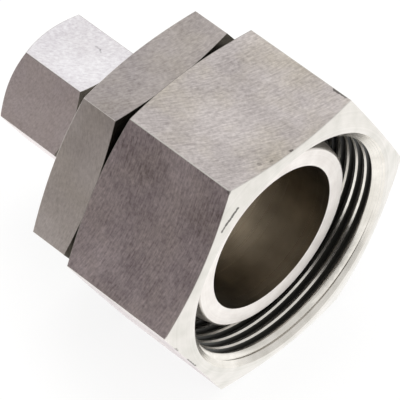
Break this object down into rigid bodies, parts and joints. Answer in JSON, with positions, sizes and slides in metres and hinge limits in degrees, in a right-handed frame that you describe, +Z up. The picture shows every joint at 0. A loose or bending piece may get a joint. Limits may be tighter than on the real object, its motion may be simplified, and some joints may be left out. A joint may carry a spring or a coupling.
{
  "type": "hydraulic compression fitting",
  "caption": "Straight reducing tube fitting: a large swivel union nut over a sealing nose, a hexagon body and a small tube nut with cutting ring.",
  "frame": {"origin": "centre of the swivel nut's mouth, on the fitting's axis and in the plane of the nut's front face", "axes": "+X along the axis and out of the mouth, +Z up and square to the swivel nut's top flat, which is the flat opposite the one it lies on"},
  "size_m": [0.0577, 0.0578, 0.05],
  "materials": {
    "swivel_nut_steel": "stainless steel, drawn flats and turned ends",
    "body_steel": "stainless steel, drawn flats and turned ends",
    "tube_nut_steel": "stainless steel, drawn flats and turned ends",
    "ring_steel": "hardened stainless steel, turned",
    "wire_steel": "spring steel wire",
    "seal_rubber": "smooth moulded rubber"
  },
  "bodies": {
    "reducer": {"reducer_body": "body_steel", "nose_o_ring": "seal_rubber"},
    "nut_retainer": {"retaining_ring": "wire_steel"},
    "swivel_nut": {"swivel_nut": "swivel_nut_steel"},
    "cutting_ring": {"cutting_ring": "ring_steel"},
    "tube_nut": {"tube_nut": "tube_nut_steel"}
  },
  "joints": [
    {"name": "swivel_nut_play", "type": "slide", "parent": "reducer", "child": "nut_retainer", "axis": [1, 0, 0], "range_m": [-0.00045, 0.00055]},
    {"name": "swivel_nut_turn", "type": "hinge", "parent": "nut_retainer", "child": "swivel_nut", "pos_m": [-0.021, 0, 0], "axis": [1, 0, 0], "continuous": true},
    {"name": "tube_nut_travel", "type": "slide", "parent": "reducer", "child": "cutting_ring", "axis": [-1, 0, 0], "range_m": [0, 0.0075]},
    {"name": "tube_nut_turn", "type": "hinge", "parent": "cutting_ring", "child": "tube_nut", "pos_m": [-0.0501, 0, 0], "axis": [-1, 0, 0], "range_deg": [0, 1800]}
  ],
  "couplings": [
    {"joint": "tube_nut_travel", "follows": "tube_nut_turn", "m_per_rad": 0.00023873}
  ]
}
